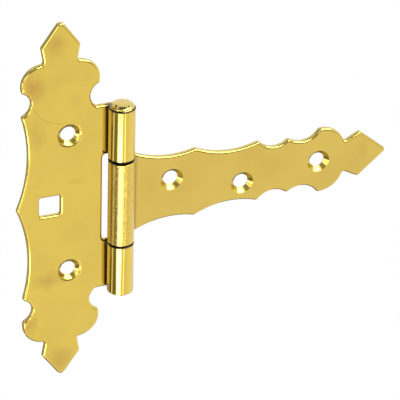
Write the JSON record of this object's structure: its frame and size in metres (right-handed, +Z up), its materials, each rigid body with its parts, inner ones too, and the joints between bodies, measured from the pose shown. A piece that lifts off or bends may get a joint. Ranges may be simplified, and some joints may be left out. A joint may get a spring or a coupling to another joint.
{
  "type": "decorative gate hinge",
  "caption": "Ornamental brass-plated T-hinge: a scalloped, arrow-tipped strap leaf swings on a peened pin in a finialled post leaf, to hang a gate, door or lid.",
  "frame": {"origin": "on the pin's line, in the plane of both leaves' backs, halfway up the barrel", "axes": "+Z up along the pin, +X from the pin along the strap, +Y out of the leaves' backs, towards the post and the gate"},
  "size_m": [0.1175, 0.008, 0.1196],
  "materials": {
    "post_leaf_brass": "polished brass plating on pressed steel sheet, lightly stained",
    "strap_leaf_brass": "polished brass plating on pressed steel sheet",
    "pin_brass": "brass plating over hammered pin ends"
  },
  "bodies": {
    "post": {"post_leaf": "post_leaf_brass", "hinge_pin": "pin_brass"},
    "strap": {"strap_leaf": "strap_leaf_brass"}
  },
  "joints": [
    {"name": "strap_swing", "type": "hinge", "parent": "post", "child": "strap", "pos_m": [0, -0.004, 0], "axis": [0, 0, 1], "range_deg": [-180, 90]}
  ]
}
